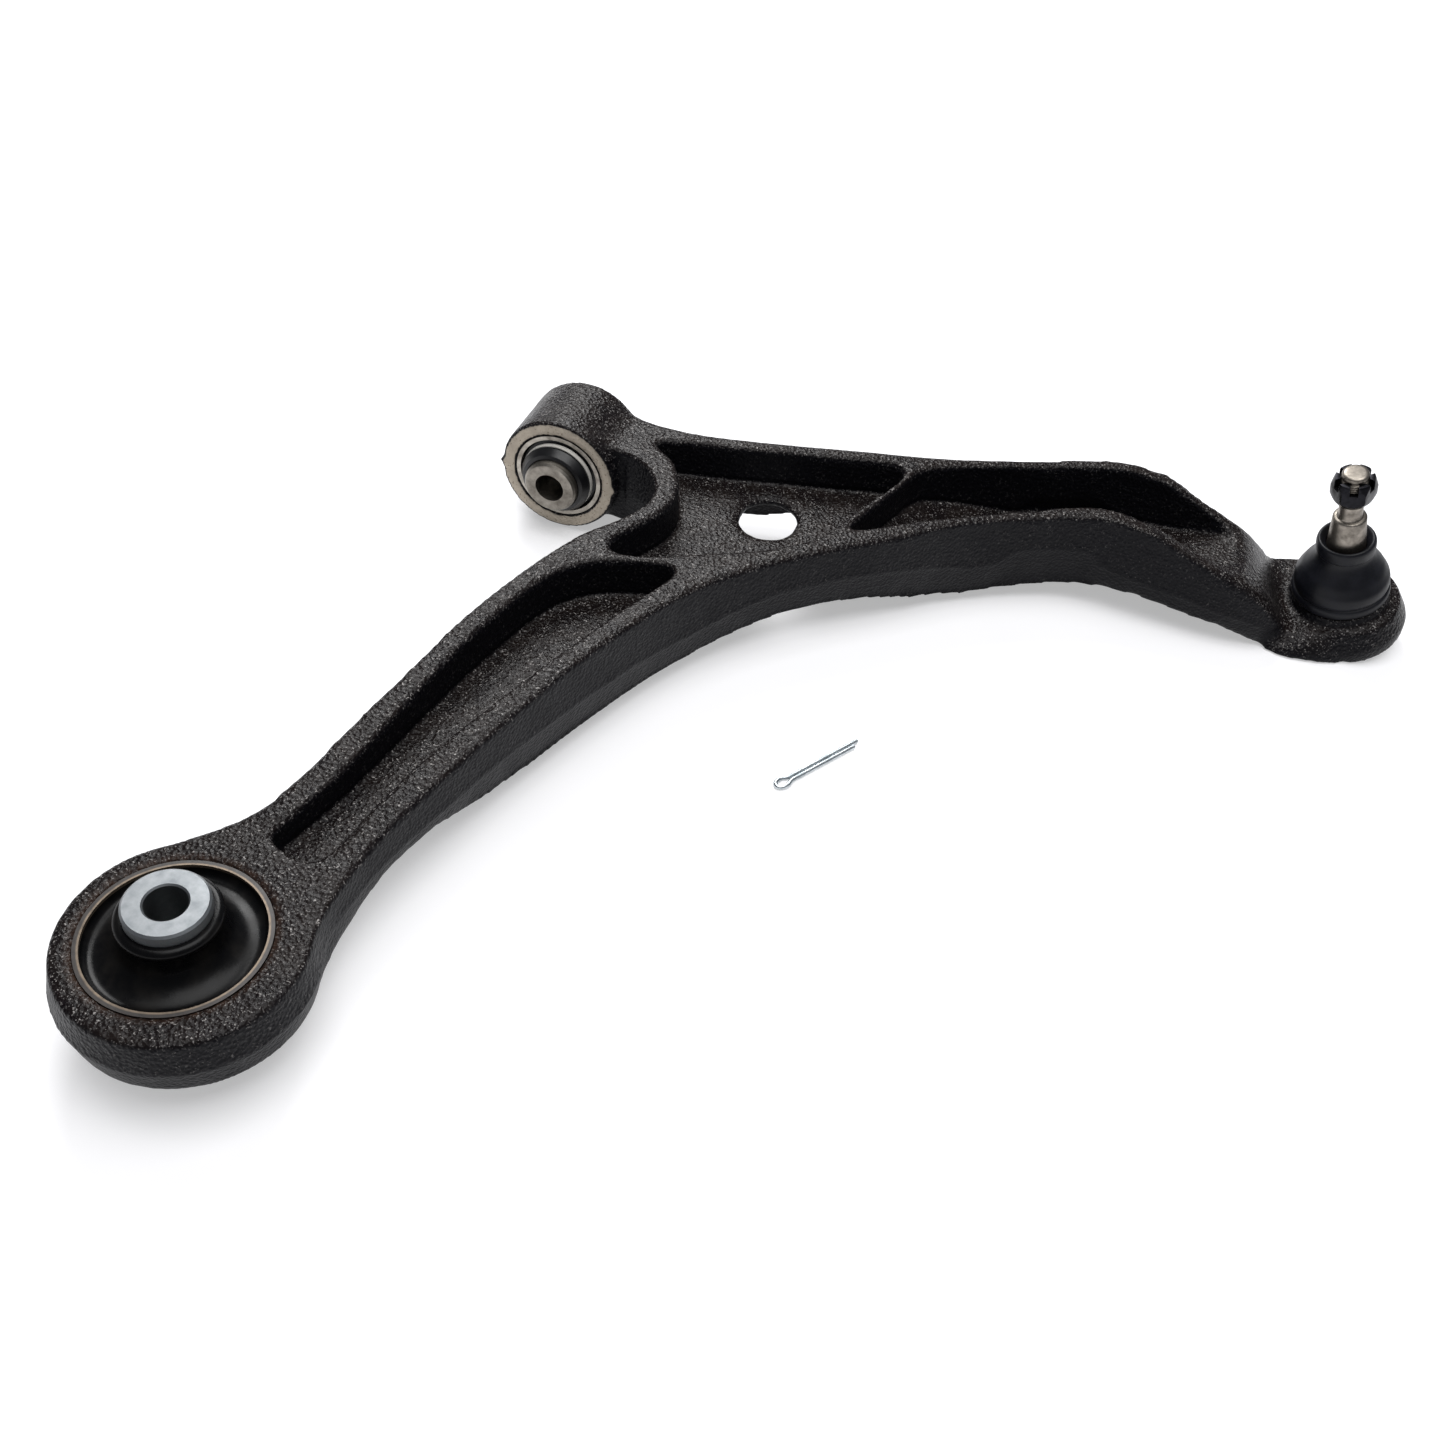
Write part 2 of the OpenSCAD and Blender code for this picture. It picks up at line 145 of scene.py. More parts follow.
class PinSettings(bpy.types.PropertyGroup):
    heading: bpy.props.FloatProperty(
        name="Heading", description="Direction of the loose pin's legs",
        default=math.radians(57), subtype="ANGLE")
    wire: bpy.props.FloatProperty(
        name="Wire", description="Radius of the pin's wire", default=1.05 * MM,
        unit="LENGTH")
    eye_radius: bpy.props.FloatProperty(
        name="Eye radius", description="Outer radius of the pin's eye", default=3.3 * MM,
        unit="LENGTH")
    short_leg: bpy.props.FloatProperty(
        name="Short leg", description="How much shorter one leg is", default=3.5 * MM,
        unit="LENGTH")


class StageSettings(bpy.types.PropertyGroup):
    turn: bpy.props.FloatProperty(
        name="Turn", description="Camera's turn about the vertical", default=math.radians(13),
        subtype="ANGLE")
    tilt: bpy.props.FloatProperty(
        name="Tilt", description="Camera's angle up from straight down",
        default=math.radians(45.1), subtype="ANGLE")
    roll: bpy.props.FloatProperty(
        name="Roll", description="Camera's turn about its own line of sight",
        default=math.radians(7.9), subtype="ANGLE")
    lens: bpy.props.FloatProperty(
        name="Lens", description="Focal length in millimetres", default=36.12)


# ---- modelling helpers ------------------------------------------------------


def choose(piece):
    """Leaves only this object selected, and active."""
    bpy.ops.object.select_all(action="DESELECT")
    piece.select_set(True)
    bpy.context.view_layer.objects.active = piece


def finish_modifiers(piece):
    """Applies every modifier of the piece, in order."""
    choose(piece)
    for modifier in list(piece.modifiers):
        bpy.ops.object.modifier_apply(modifier=modifier.name)


def merged_copy(node, name):
    """A copy of a CAD node whose loose triangles are joined into one surface."""
    source = frame["nodes"][node]
    piece = bpy.data.objects.new(name, source.data.copy())
    bpy.context.scene.collection.objects.link(piece)
    piece.data.materials.clear()
    choose(piece)
    bpy.ops.object.mode_set(mode="EDIT")
    bpy.ops.mesh.select_all(action="SELECT")
    bpy.ops.mesh.remove_doubles(threshold=0.003 * MM)
    bpy.ops.mesh.normals_make_consistent(inside=False)
    bpy.ops.object.mode_set(mode="OBJECT")
    if piece.data.has_custom_normals:
        bpy.ops.mesh.customdata_custom_splitnormals_clear()
    return piece


def turned(name, profile, place, facets=128, crease=35, closed=True):
    """Draws a ring and extrudes it from point to point of a profile of (radius, height), in metres.

    A closed profile ends where it starts. An open one gets a flat cap at each end."""
    first_radius, first_height = profile[0]
    bpy.ops.object.select_all(action="DESELECT")
    bpy.ops.mesh.primitive_circle_add(vertices=facets, radius=first_radius)
    piece = bpy.context.active_object
    piece.name = name
    piece.data.name = name
    bpy.ops.object.mode_set(mode="EDIT")
    bpy.ops.mesh.select_all(action="SELECT")
    bpy.ops.transform.translate(value=(0, 0, first_height))
    if not closed:
        bpy.ops.mesh.edge_face_add()
    points = profile + profile[:1] if closed else profile
    for (radius, height), (next_radius, next_height) in zip(points, points[1:]):
        grow = next_radius / radius
        bpy.ops.mesh.extrude_edges_move(
            TRANSFORM_OT_translate={"value": (0, 0, next_height - height)})
        bpy.ops.transform.resize(value=(grow, grow, 1), center_override=(0, 0, next_height))
    if not closed:
        bpy.ops.mesh.edge_face_add()
    bpy.ops.mesh.select_all(action="SELECT")
    bpy.ops.mesh.remove_doubles(threshold=0.002 * MM)
    bpy.ops.mesh.normals_make_consistent(inside=False)
    bpy.ops.object.mode_set(mode="OBJECT")
    piece.matrix_world = place
    bpy.ops.object.transform_apply(location=True, rotation=True, scale=True)
    bpy.ops.object.shade_smooth_by_angle(angle=math.radians(crease))
    return piece


def curve_through(points, steps=4):
    """Points of a smooth curve through the given ones."""
    ends = [points[0]] + list(points) + [points[-1]]
    result = []
    for a, b, c, d in zip(ends, ends[1:], ends[2:], ends[3:]):
        for step in range(steps):
            t = step / steps
            result.append(tuple(
                0.5 * (2 * q + (r - p) * t + (2 * p - 5 * q + 4 * r - s) * t * t
                       + (3 * q - p - 3 * r + s) * t ** 3)
                for p, q, r, s in zip(a, b, c, d)))
    return result + [tuple(points[-1])]


def in_mm(points):
    """Profile points given in millimetres, in metres."""
    return [(radius * MM, height * MM) for radius, height in points]


def along(axis, side, origin):
    """Matrix that puts a piece drawn along Z on an axis, with X towards side."""
    up = Vector(axis).normalized()
    right = (Vector(side) - up * Vector(side).dot(up)).normalized()
    ahead = up.cross(right)
    turn = Matrix((right, ahead, up)).transposed().to_4x4()
    return Matrix.Translation(origin) @ turn


def ball_place():
    """Matrix of the ball joint: Z up its axis, from the ball's centre."""
    return along(BALL_UP, BALL_SIDE, BALL)


def ramp(value, low, high):
    """0 at low, 1 at high, smooth between."""
    t = min(1.0, max(0.0, (value - low) / (high - low)))
    return t * t * (3 - 2 * t)


def between(points, x):
    """Value at x of a line through points of (x, value)."""
    for (x0, v0), (x1, v1) in zip(points, points[1:]):
        if x <= x1:
            share = max(0.0, (x - x0) / (x1 - x0))
            return v0 + (v1 - v0) * share
    return points[-1][1]


# ---- materials --------------------------------------------------------------

# Radii of the rust-brown bloom round the rear eye: full at the first, gone at the second
RUST_FROM = 32.6 * MM
RUST_TO = 35.5 * MM
# How far past the front shell's ends bare metal starts, and is complete
END_HARD = 0.1 * MM
END_SOFT = 0.35 * MM
# Distances from the front housing's middle between which its bare metal fades out
HOUSING_REACH = (36.2 * MM, 36.6 * MM)
# Radii between which the rear ring's bare inner edge fades into paint
BARE_EDGE = (30.5 * MM, 30.9 * MM)


def linear(code):
    """Linear colour with alpha of an sRGB hex value."""
    values = [int(code[i:i + 2], 16) / 255 for i in (1, 3, 5)]
    return tuple(v / 12.92 if v <= 0.04045 else ((v + 0.055) / 1.055) ** 2.4
                 for v in values) + (1.0,)


def add(tree, kind, inputs=(), output=0, **settings):
    """Adds a shader node with its settings, sets or links its inputs, and returns one output.

    Inputs are a dict by name or number, or a tuple that starts at the first input."""
    node = tree.nodes.new("ShaderNode" + kind)
    for name, value in settings.items():
        setattr(node, name, value)
    pairs = inputs.items() if isinstance(inputs, dict) else enumerate(inputs)
    for name, value in pairs:
        if isinstance(value, bpy.types.NodeSocket):
            tree.links.new(value, node.inputs[name])
        else:
            node.inputs[name].default_value = value
    return node.outputs[output]


def blank(name, **sockets):
    """New material with its tree, its shader and the object's coordinates."""
    material = bpy.data.materials.new(name)
    material.use_nodes = True
    tree = material.node_tree
    shader = tree.nodes["Principled BSDF"]
    for socket, value in sockets.items():
        shader.inputs[socket.replace("_", " ")].default_value = value
    place = add(tree, "TexCoord", (), "Object")
    return material, tree, shader, place


def distance_from_axis(tree, spot):
    """Distance of a spot, given as its X, Y and Z outputs, from the rear eye's axis."""
    squares = [add(tree, "Math", (spot[name], 2.0), operation="POWER") for name in "XY"]
    return add(tree, "Math", (add(tree, "Math", squares, operation="ADD"), 0.0),
               operation="SQRT")


def painted_iron(paint):
    """Grey iron cast in sand and dipped in black paint: gloss over a pebbled skin, so that every
    grain carries its own glint, with painted highlights as pale specks on the tops and along the
    edges, brown dust on what faces up, and turned bare housing ends."""
    material, tree, shader, place = blank("sand_cast_iron_black_paint", IOR=1.5,
                                          Specular_IOR_Level=0.12)
    grain = add(tree, "TexVoronoi", {"Vector": place, "Scale": 1 / (1.5 * MM), "Smoothness": 0.5,
                                     "Randomness": 1.0}, "Distance", feature="SMOOTH_F1")
    pebbles = add(tree, "TexNoise", {"Vector": place, "Scale": 1 / (2.2 * MM), "Detail": 4,
                                     "Roughness": 0.62})
    hollows = add(tree, "TexNoise", {"Vector": place, "Scale": 1 / (11 * MM), "Detail": 3,
                                     "Roughness": 0.55})
    facing = add(tree, "SeparateXYZ", (add(tree, "NewGeometry", (), "Normal"),)).node.outputs
    up = facing["Z"]
    # Brown dust lies on what faces up
    dusty = add(tree, "MapRange", (up, 0.3, 0.95, 0, 1))
    dust_share = add(tree, "Math", (dusty, add(tree, "MapRange", (hollows, 0.3, 0.7, 0.45, 1))),
                     operation="MULTIPLY")
    dusted = add(tree, "Mix", {0: dust_share, 6: (*paint, 1), 7: linear("#150f0d")}, 2,
                 data_type="RGBA")
    # Painted highlights: pale specks on the pebbles stand in for glints, most on what faces up and
    # along the convex edges
    sparkle = add(tree, "TexNoise", {"Vector": place, "Scale": 1 / (0.85 * MM), "Detail": 2,
                                     "Roughness": 0.6})
    glint_specks = add(tree, "MapRange", (sparkle, 0.582, 0.655, 0, 0.8))
    edge_glints = add(tree, "MapRange", (add(tree, "NewGeometry", (), "Pointiness"), 0.52, 0.57, 0, 1))
    tops = add(tree, "MapRange", (up, 0, 0.8, 0.04, 1))
    top_glints = add(tree, "Math", (tops, add(tree, "MapRange", (pebbles, 0.45, 0.6, 0.1, 1))),
                  operation="MULTIPLY")
    glint_share = add(tree, "Math", (top_glints, add(tree, "Math", (edge_glints, tops), operation="MULTIPLY")),
                operation="MAXIMUM")
    # The pale speck colour is a painted highlight, not bare metal
    glinted = add(tree, "Mix", {0: add(tree, "Math", (glint_specks, glint_share), operation="MULTIPLY"),
                                 6: dusted, 7: linear("#a09c99")}, 2, data_type="RGBA")
    # Rust-brown bloom round the ring in the rear eye
    spot = add(tree, "SeparateXYZ", (place,)).node.outputs
    from_eye = distance_from_axis(tree, spot)
    bloom = add(tree, "Math", (
        add(tree, "MapRange", (from_eye, RUST_FROM, RUST_TO, 0.6, 0)),
        add(tree, "MapRange", (pebbles, 0.35, 0.6, 0.1, 1))), operation="MULTIPLY")
    rusty = add(tree, "Mix", {0: bloom, 6: glinted, 7: linear("#3d2d24")}, 2, data_type="RGBA")
    # Turned ends of the front housing, bare but for specks of rust and old paint
    shell_low, shell_high = (corner.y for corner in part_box("front_outer_sleeve"))
    near_end = add(tree, "MapRange", (spot["Y"], shell_low - END_SOFT, shell_low - END_HARD, 1, 0))
    far_end = add(tree, "MapRange",
                  (spot["Y"], shell_high + END_HARD, shell_high + END_SOFT, 0, 1))
    by_housing = add(tree, "VectorMath", (place, FRONT), "Value", operation="DISTANCE")
    in_reach = add(tree, "MapRange", (by_housing, *HOUSING_REACH, 1, 0))
    across = add(tree, "MapRange", (add(tree, "Math", (facing["Y"], 0.0), operation="ABSOLUTE"),
                                    0.86, 0.93, 0, 1))
    ends = add(tree, "Math", (near_end, far_end), operation="MAXIMUM")
    bare = add(tree, "Math", (add(tree, "Math", (ends, in_reach), operation="MULTIPLY"), across),
               operation="MULTIPLY")
    turning = add(tree, "TexNoise", {"Vector": place, "Scale": 1 / (4 * MM), "Detail": 4,
                                     "Roughness": 0.6})
    bare_colour = add(tree, "Mix", {0: turning, 6: linear("#8a8277"), 7: linear("#b8ae9f")}, 2,
                      data_type="RGBA")
    pits = add(tree, "TexNoise", {"Vector": place, "Scale": 1 / (1.2 * MM), "Detail": 2,
                                  "Roughness": 0.5})
    specks = add(tree, "MapRange", (pits, 0.62, 0.7, 0, 0.8))
    pitted = add(tree, "Mix", {0: specks, 6: bare_colour, 7: linear("#4c3a2c")}, 2,
                 data_type="RGBA")
    tree.links.new(add(tree, "Mix", {0: bare, 6: rusty, 7: pitted}, 2, data_type="RGBA"),
                   shader.inputs["Base Color"])
    # The walls keep the matt of the mould, the tops are smoother
    paint_rough = add(tree, "Math", (add(tree, "MapRange", (hollows, 0.3, 0.7, 0, 0.1)),
                                     add(tree, "MapRange", (up, 0, 0.9, 0.4, 0.22))),
                      operation="ADD")
    tree.links.new(add(tree, "Mix", {0: bare, 2: paint_rough, 3: 0.5}),
                   shader.inputs["Roughness"])
    tree.links.new(add(tree, "Math", (bare, 0.6), operation="MULTIPLY"),
                   shader.inputs["Metallic"])
    covered = add(tree, "Math", (1.0, bare), operation="SUBTRACT")
    coarse = add(tree, "Bump", {"Height": pebbles, "Strength": 0.9, "Distance": 0.5 * MM})
    tree.links.new(add(tree, "Bump", {"Height": grain, "Strength": covered,
                                      "Distance": 0.42 * MM, "Normal": coarse}),
                   shader.inputs["Normal"])
    return material


def rubber(name, colour, worn, rough, sheen):
    """Moulded rubber: soft sheen, a fine skin, and a little grey bloom in places."""
    material, tree, shader, place = blank(name, IOR=1.52, Specular_IOR_Level=sheen)
    patches = add(tree, "TexNoise", {"Vector": place, "Scale": 1 / (9 * MM), "Detail": 4,
                                     "Roughness": 0.6})
    skin = add(tree, "TexNoise", {"Vector": place, "Scale": 1 / (0.9 * MM), "Detail": 3,
                                  "Roughness": 0.6})
    bloom = add(tree, "MapRange", (patches, 0.45, 0.8, 0, 1))
    tree.links.new(add(tree, "Mix", {0: bloom, 6: linear(colour), 7: linear(worn)}, 2,
                       data_type="RGBA"), shader.inputs["Base Color"])
    tree.links.new(add(tree, "MapRange", (patches, 0.3, 0.7, rough - 0.07, rough + 0.08)),
                   shader.inputs["Roughness"])
    tree.links.new(add(tree, "Bump", {"Height": skin, "Strength": 0.6, "Distance": 0.05 * MM}),
                   shader.inputs["Normal"])
    return material


def steel(name, dark, light, rough, centre=None, axis=None, depth=0.012 * MM):
    """Turned or ground steel: a metal with fine marks round its axis and faint stains.

    The real marks are too fine to show, so they are drawn 0.35 mm apart."""
    material, tree, shader, place = blank(name, Metallic=1.0)
    stains = add(tree, "TexNoise", {"Vector": place, "Scale": 1 / (5 * MM), "Detail": 4,
                                    "Roughness": 0.65})
    stained = add(tree, "MapRange", (stains, 0.3, 0.7, 0, 1))
    tree.links.new(add(tree, "Mix", {0: stained, 6: linear(dark), 7: linear(light)}, 2,
                       data_type="RGBA"), shader.inputs["Base Color"])
    tree.links.new(add(tree, "MapRange", (stains, 0.3, 0.7, rough + 0.1, rough - 0.05)),
                   shader.inputs["Roughness"])
    if axis is None:
        marks = add(tree, "TexNoise", {"Vector": place, "Scale": 1 / (1.2 * MM), "Detail": 3,
                                       "Roughness": 0.6})
    else:
        height = add(tree, "VectorMath", (place, axis), "Value", operation="DOT_PRODUCT")
        moved = add(tree, "VectorMath", (place, centre), "Vector", operation="SUBTRACT")
        reach = add(tree, "VectorMath", (moved,), "Value", operation="LENGTH")
        both = add(tree, "CombineXYZ", (height, reach))
        marks = add(tree, "TexNoise", {"Vector": both, "Scale": 1 / (0.35 * MM), "Detail": 4,
                                       "Roughness": 0.7})
    tree.links.new(add(tree, "Bump", {"Height": marks, "Strength": 0.7, "Distance": depth}),
                   shader.inputs["Normal"])
    return material


def painted_ring():
    """Pressed steel ring under the arm's black paint, rubbed bare along its inner edge."""
    material, tree, shader, place = blank("black_painted_steel_ring", IOR=1.5)
    reach = distance_from_axis(tree, add(tree, "SeparateXYZ", (place,)).node.outputs)
    wear = add(tree, "TexNoise", {"Vector": place, "Scale": 1 / (3 * MM), "Detail": 3,
                                  "Roughness": 0.6})
    edge = add(tree, "MapRange", (reach, *BARE_EDGE, 1, 0))
    bare = add(tree, "Math", (edge, add(tree, "MapRange", (wear, 0.3, 0.6, 0.55, 1))),
               operation="MULTIPLY")
    painted = add(tree, "Mix", {0: wear, 6: linear("#15110f"), 7: linear("#2c241f")}, 2,
                  data_type="RGBA")
    tree.links.new(add(tree, "Mix", {0: bare, 6: painted, 7: linear("#776a5c")}, 2,
                       data_type="RGBA"), shader.inputs["Base Color"])
    tree.links.new(add(tree, "MapRange", (wear, 0.3, 0.7, 0.35, 0.5)),
                   shader.inputs["Roughness"])
    tree.links.new(add(tree, "Math", (bare, 0.7), operation="MULTIPLY"),
                   shader.inputs["Metallic"])
    tree.links.new(add(tree, "Bump", {"Height": wear, "Strength": 0.5, "Distance": 0.08 * MM}),
                   shader.inputs["Normal"])
    return material


def plastic(name, colour, rough):
    """Moulded nylon or acetal: pale, slightly waxy, with a fine spark-eroded skin."""
    material, tree, shader, place = blank(name, IOR=1.48)
    patches = add(tree, "TexNoise", {"Vector": place, "Scale": 1 / (3 * MM), "Detail": 3,
                                     "Roughness": 0.6})
    base = linear(colour)
    darker = tuple(value * 0.8 for value in base[:3]) + (1.0,)
    tree.links.new(add(tree, "Mix", {0: patches, 6: darker, 7: base}, 2, data_type="RGBA"),
                   shader.inputs["Base Color"])
    tree.links.new(add(tree, "MapRange", (patches, 0.3, 0.7, rough, rough + 0.1)),
                   shader.inputs["Roughness"])
    skin = add(tree, "TexNoise", {"Vector": place, "Scale": 1 / (0.5 * MM), "Detail": 3,
                                  "Roughness": 0.5})
    tree.links.new(add(tree, "Bump", {"Height": skin, "Strength": 0.4, "Distance": 0.02 * MM}),
                   shader.inputs["Normal"])
    return material


def dress(piece, material):
    """Gives every face of a piece or CAD node this material."""
    piece.data.materials.clear()
    piece.data.materials.append(material)


def dress_nodes(names, material):
    """Gives CAD nodes this material."""
    for name in names:
        dress(frame["nodes"][name], material)


# ---- casting ----------------------------------------------------------------

# Height of the parting line along the arm: [x, z] in millimetres
PARTING = [(-60, 0), (60, 0), (100, -4), (130, 2.5), (160, 2.4), (176, 0.8), (208, -6.8),
           (217, -5), (226, 2.4), (258, 3.1), (266, -3.6), (286, -6.6), (310, -8.5),
           (336, -13.1), (352, -17), (367, -20.6)]
# Height of the pockets' floor along the arm: [x, z] in millimetres
POCKET_FLOOR = [(-60, 1), (172, 1), (196, -3), (216, -7), (250, -8.5), (286, -5), (299, -3.3),
                (322, 4.2)]
# Height of the walls above and below the parting line, in millimetres
UPPER_HEIGHT = 20
LOWER_HEIGHT = 17
# Half the width of the trimmed flash, in millimetres
FLASH_HALF_WIDTH = 1.6
# A wall with another wall opposite, nearer than this, is a pocket's; in metres
POCKET_REACH = 0.07
# Triangles that the finished casting is thinned to
CASTING_TRIANGLES = 190000


def wall_weights(piece):
    """Vertex groups that say where the mould's draft, flash and fillets are.

    The distances in it are in millimetres."""
    groups = {name: piece.vertex_groups.new(name=name)
              for name in ("bulge", "tuck", "ridge", "fillet", "flow")}
    walls = BVHTree.FromObject(piece, bpy.context.evaluated_depsgraph_get())
    front_x, front_y = FRONT.x / MM, FRONT.y / MM
    ball_x, ball_y = BALL.x / MM, BALL.y / MM
    for vertex in piece.data.vertices:
        x, y, z = (value / MM for value in vertex.co)
        upright = ramp(1 - abs(vertex.normal.z), 0.35, 0.8)
        from_eye = math.hypot(x, y)
        in_housing = abs(x - front_x) < 33 and y > front_y - 24
        from_ball = math.hypot(x - ball_x, y - ball_y)
        if from_eye < 34 or in_housing:
            continue
        flow = ramp(x, 312, 328) * ramp(from_ball, 25, 29) * ramp(-x, -392, -372)
        if flow > 0:
            groups["flow"].add([vertex.index], flow, "REPLACE")
        share = upright * ramp(from_ball, 33, 48)
        if from_eye < 60:
            share *= ramp(from_eye, 47, 60)
        above = z - between(PARTING, x)
        height = UPPER_HEIGHT if above > 0 else LOWER_HEIGHT
        if share > 0:
            near = max(0.0, 1 - abs(above) / height)
            groups["bulge"].add([vertex.index], share * near, "REPLACE")
            if above < 0:
                groups["tuck"].add([vertex.index], share * min(1.0, -above / height), "REPLACE")
        flash = upright * max(0.0, 1 - abs(above) / FLASH_HALF_WIDTH)
        if flash > 0 and from_ball > 40:
            level = Vector((vertex.normal.x, vertex.normal.y, 0)).normalized()
            across = walls.ray_cast(vertex.co + level * MM, level, POCKET_REACH)[0]
            if across is None:
                groups["ridge"].add([vertex.index], flash, "REPLACE")
        above_floor = z - between(POCKET_FLOOR, x)
        rounded = ramp(above_floor, -12, -8) * ramp(-above_floor, -7, -3)
        rounded *= ramp(from_eye, 44, 50) * ramp(from_ball, 36, 42)
        if rounded > 0:
            groups["fillet"].add([vertex.index], rounded, "REPLACE")


class ARM_OT_casting(bpy.types.Operator):
    """Rounds the CAD casting, gives its walls draft and flash, and paints it"""

    bl_idname = "control_arm.casting"
    bl_label = "Cast arm"

    def execute(self, context):
        settings = context.scene.arm_casting
        burrs = []
        for side in (-1, 1):
            burr_place = (FRONT.x + side * settings.housing_radius,
                          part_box("front_outer_sleeve")[0].y + settings.burr / 2, 0)
            bpy.ops.object.select_all(action="DESELECT")
            bpy.ops.mesh.primitive_ico_sphere_add(subdivisions=2, radius=settings.burr,
                                                  location=burr_place)
            bpy.ops.object.transform_apply(location=True, rotation=True, scale=True)
            burrs.append(context.active_object)
        piece = merged_copy("arm_casting", "cast_arm")
        for burr in burrs:
            burr.select_set(True)
        bpy.ops.object.join()
        remesh = piece.modifiers.new("Skin", "REMESH")
        remesh.mode = "VOXEL"
        remesh.voxel_size = settings.voxel
        remesh.use_smooth_shade = True
        soften = piece.modifiers.new("Soften", "SMOOTH")
        soften.factor = 0.5
        soften.iterations = 4
        finish_modifiers(piece)
        wall_weights(piece)
        for group, times in (("fillet", 12), ("flow", 36)):
            fillet = piece.modifiers.new(group, "SMOOTH")
            fillet.factor = 0.5
            fillet.iterations = times
            fillet.vertex_group = group
        for group, depth in (("bulge", settings.bulge), ("tuck", -settings.tuck),
                             ("ridge", settings.ridge)):
            push = piece.modifiers.new(group, "DISPLACE")
            push.direction = "NORMAL"
            push.mid_level = 0
            push.strength = depth
            push.vertex_group = group
        sand = bpy.data.textures.new("sand_mould", "CLOUDS")
        sand.noise_scale = 7 * MM
        sand.noise_depth = 2
        wave = piece.modifiers.new("Sand", "DISPLACE")
        wave.texture = sand
        wave.texture_coords = "LOCAL"
        wave.mid_level = 0.5
        wave.strength = settings.waviness
        settle = piece.modifiers.new("Settle", "SMOOTH")
        settle.factor = 0.5
        settle.iterations = 2
        thin = piece.modifiers.new("Thin", "DECIMATE")
        thin.ratio = min(1.0, CASTING_TRIANGLES / (2 * len(piece.data.polygons)))
        finish_modifiers(piece)
        piece.vertex_groups.clear()
        bpy.ops.object.shade_smooth()
        dress(piece, painted_iron(tuple(settings.paint)))
        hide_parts("arm_casting")
        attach(piece, "arm")
        return {"FINISHED"}


# ---- bushings ---------------------------------------------------------------


class ARM_OT_rear_bushing(bpy.types.Operator):
    """Dished rubber with a bead round each end of its sleeve, and the steel of the rear bushing"""

    bl_idname = "control_arm.rear_bushing"
    bl_label = "Rear bushing"

    def execute(self, context):
        settings = context.scene.arm_rubber
        rim = settings.rear_rim / MM
        core = settings.rear_core / MM
        bead = [(core, 25.4), (core + 1.6, 25.3), (core + 2.9, 24.3), (core + 3.2, 23),
                (core + 2.7, 21.7), (core + 1.6, 20.9)]
        neck = [(core + 1.3, 20.2), (core + 1.5, 18), (core + 2.4, 14.5), (core + 4.4, 11.4),
                (core + 7.6, 9.2), (rim - 4.6, 8.2), (rim - 2.2, 8.4), (rim - 0.7, 9.6),
                (rim, 11)]
        bore = [(rim, 0), (core, 0), (core, 7), (core, 12), (core, 16), (core, 20), (core, 23)]
        half = curve_through(bead, 3)[:-1] + curve_through(neck, 4) + bore
        black = rubber("moulded_natural_rubber", "#060607", "#161412", 0.3, 0.12)
        # Each half is turned from one profile, the lower one mirrored. Its dish and the middle of
        # its bore stay in the arm, so the tilted sleeve still cuts into the bore's middle, out of
        # sight.
        for name, side in (("rear_dish_upper", 1), ("rear_dish_lower", -1)):
            profile = [(radius, side * height) for radius, height in half]
            piece = turned(name, in_mm(profile), Matrix.Identity(4), settings.facets)
            dress(piece, black)
            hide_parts("rear_rubber")
            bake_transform(piece)
        up = Vector((0, 0, 1))
        dress_nodes(["rear_inner_sleeve"],
                    steel("zinc_plated_sleeve", "#73777a", "#8b8e90", 0.42, Vector(), up))
        dress_nodes(["rear_outer_sleeve"], painted_ring())
        return {"FINISHED"}


class ARM_OT_front_bushing(bpy.types.Operator):
    """Rubber, dust lips, pale rings and sleeves of the front bushing"""

    bl_idname = "control_arm.front_bushing"
    bl_label = "Front bushing"

    def execute(self, context):
        along_y = Vector((0, 1, 0))
        black = rubber("moulded_bush_rubber", "#0c0c0e", "#1a1a1b", 0.36, 0.35)
        dress_nodes(["front_rubber", "front_dust_lips"], black)
        dress_nodes(["front_inner_sleeve"],
                    steel("turned_bush_sleeve", "#5f5a53", "#8f8a82", 0.42, FRONT, along_y))
        dress_nodes(["front_outer_sleeve"],
                    steel("thin_bush_shell", "#77716a", "#aaa59c", 0.4, FRONT, along_y))
        dress_nodes(["front_thrust_rings"], plastic("moulded_acetal_ring", "#d6d3cc", 0.45))
        return {"FINISHED"}


# ---- ball joint -------------------------------------------------------------


